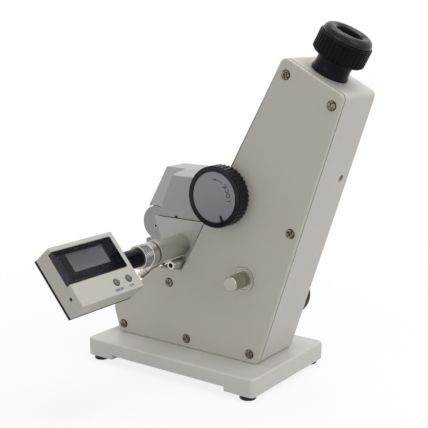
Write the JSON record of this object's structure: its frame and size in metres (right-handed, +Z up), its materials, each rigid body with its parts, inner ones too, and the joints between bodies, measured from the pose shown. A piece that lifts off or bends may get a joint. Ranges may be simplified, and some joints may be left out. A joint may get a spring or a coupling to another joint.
{
  "type": "abbe refractometer",
  "caption": "Bench refractometer: slanted housing with eyepiece, hinged prism head with light flap and mirror, lock wheel, scale knob, dispersion wheel and digital thermometer on a stem.",
  "frame": {"origin": "middle of the base plate's footprint, on the plane that the feet stand on", "axes": "+X from the prism head towards the eyepiece, +Z up, -Y out of the side cover towards the lock wheel and the display"},
  "size_m": [0.1938, 0.1806, 0.2398],
  "materials": {
    "body_enamel": "satin enamel, warm light grey",
    "cover_enamel": "satin enamel, warm grey",
    "base_enamel": "satin enamel, pale grey",
    "head_metal": "fine bead-blasted, satin",
    "black_metal": "black satin",
    "black_plastic": "fine grained black",
    "soft_black": "matt",
    "steel": "turned",
    "dark_screw": "bronzed",
    "plated": "polished",
    "brass": "turned",
    "optical_glass": "polished, clear",
    "silvered": "silvered front",
    "dial_grey": "satin, printed",
    "display_plastic": "fine grained, light grey",
    "window_black": "clear black, polished",
    "lcd_grey": "grey liquid crystal",
    "button_grey": "satin"
  },
  "bodies": {
    "base": {"base_plate": "base_enamel", "rubber_feet": "soft_black", "foot_screws": "steel", "housing_shell": "body_enamel", "side_cover": "cover_enamel", "cover_screws": "dark_screw", "housing_bolts": "steel", "eyepiece_tube": "black_metal", "reticle": "optical_glass", "compensator_frame": "black_metal", "objective_cell": "black_metal", "objective_lens": "optical_glass", "shaft_bushes": "brass", "knob_flange": "head_metal", "lower_holder": "head_metal", "refracting_prism": "optical_glass", "hinge_pins": "steel", "lower_nozzles": "plated", "condenser_barrel": "black_metal", "condenser_lens": "optical_glass", "thermometer_seat": "head_metal"},
    "upper_head": {"upper_holder": "head_metal", "light_entry_prism": "optical_glass", "upper_nozzles": "plated", "shade_pin": "steel"},
    "shade": {"shade_plate": "head_metal"},
    "reflector": {"mirror_frame": "head_metal", "mirror_glass": "silvered"},
    "lock": {"lock_wheel": "black_plastic", "lock_disc": "dial_grey", "lock_shaft": "steel", "lock_cam": "brass"},
    "knob": {"scale_knob": "plated", "scale_shaft": "steel"},
    "scale": {"mirror_arm": "black_metal", "swing_mirror": "silvered", "scale_sector": "brass", "scale_disc": "optical_glass"},
    "dispersion": {"dispersion_wheel": "black_plastic", "dispersion_ring": "dial_grey", "dispersion_shaft": "steel"},
    "cell_a": {"amici_cell_a": "brass", "amici_prism_a": "optical_glass"},
    "cell_b": {"amici_cell_b": "brass", "amici_prism_b": "optical_glass"},
    "focus": {"focus_ring": "black_plastic", "eyecup": "soft_black"},
    "eye_lens": {"lens_cell": "black_metal", "eyepiece_lenses": "optical_glass"},
    "adjuster": {"adjusting_screw": "steel"},
    "nut": {"union_nut": "steel"},
    "thermometer": {"stem_collar": "black_plastic", "stem_probe": "steel", "display_body": "display_plastic", "display_back": "black_plastic", "display_window": "window_black", "lcd_panel": "lcd_grey"},
    "power_button": {"button_power": "button_grey"},
    "unit_button": {"button_unit": "button_grey"}
  },
  "joints": [
    {"name": "head_hinge", "type": "hinge", "parent": "base", "child": "upper_head", "pos_m": [-0.0415, 0.0068, 0.0948], "axis": [0, -1, 0], "range_deg": [0, 95]},
    {"name": "shade_hinge", "type": "hinge", "parent": "upper_head", "child": "shade", "pos_m": [-0.0453, 0.0068, 0.1109], "axis": [0, -1, 0], "range_deg": [0, 60]},
    {"name": "reflector_hinge", "type": "hinge", "parent": "base", "child": "reflector", "pos_m": [-0.0489, 0.0068, 0.0737], "axis": [0, -1, 0], "range_deg": [0, 75]},
    {"name": "lock_turn", "type": "hinge", "parent": "base", "child": "lock", "pos_m": [0.03161, 0, 0.1282], "axis": [0, 1, 0], "range_deg": [0, 170]},
    {"name": "knob_turn", "type": "hinge", "parent": "base", "child": "knob", "pos_m": [0.0475, -0.02, 0.0733], "axis": [0, 1, 0], "range_deg": [-150, 150]},
    {"name": "scale_swing", "type": "hinge", "parent": "base", "child": "scale", "pos_m": [0.03158, 0, 0.09], "axis": [0, 1, 0], "range_deg": [-37.6, 37.6]},
    {"name": "dispersion_turn", "type": "hinge", "parent": "base", "child": "dispersion", "pos_m": [0.05848, 0.02, 0.13955], "axis": [0, 1, 0], "continuous": true},
    {"name": "cell_a_turn", "type": "hinge", "parent": "base", "child": "cell_a", "pos_m": [0.05848, 0, 0.13955], "axis": [0.4772, 0, 0.8788], "continuous": true},
    {"name": "cell_b_turn", "type": "hinge", "parent": "base", "child": "cell_b", "pos_m": [0.05848, 0, 0.13955], "axis": [0.4772, 0, 0.8788], "continuous": true},
    {"name": "focus_turn", "type": "hinge", "parent": "base", "child": "focus", "pos_m": [0.0957, 0, 0.2081], "axis": [0.4772, 0, 0.8788], "range_deg": [-120, 120]},
    {"name": "lens_travel", "type": "slide", "parent": "base", "child": "eye_lens", "axis": [0.4772, 0, 0.8788], "range_m": [-0.00049, 0.00049]},
    {"name": "adjuster_turn", "type": "hinge", "parent": "base", "child": "adjuster", "pos_m": [0.09963, 0.0119, 0.1407], "axis": [0.8788, 0, -0.4772], "range_deg": [-180, 180]},
    {"name": "nut_turn", "type": "hinge", "parent": "base", "child": "nut", "pos_m": [-0.0079, -0.056, 0.0883], "axis": [0, 1, 0], "range_deg": [0, 300]},
    {"name": "thermometer_swivel", "type": "hinge", "parent": "base", "child": "thermometer", "pos_m": [-0.0079, -0.07, 0.0883], "axis": [0, 1, 0], "range_deg": [-50, 60]},
    {"name": "power_press", "type": "slide", "parent": "thermometer", "child": "power_button", "axis": [-0.7547, 0, -0.6561], "range_m": [0, 0.0006], "stiffness_N_per_m": 400, "springref_m": -0.0006},
    {"name": "unit_press", "type": "slide", "parent": "thermometer", "child": "unit_button", "axis": [-0.7547, 0, -0.6561], "range_m": [0, 0.0006], "stiffness_N_per_m": 400, "springref_m": -0.0006}
  ],
  "couplings": [
    {"joint": "scale_swing", "follows": "knob_turn", "ratio": -0.25},
    {"joint": "cell_a_turn", "follows": "dispersion_turn", "ratio": 0.30769},
    {"joint": "cell_b_turn", "follows": "dispersion_turn", "ratio": -0.30769},
    {"joint": "focus_turn", "follows": "lens_travel", "rad_per_m": 4188.8}
  ]
}
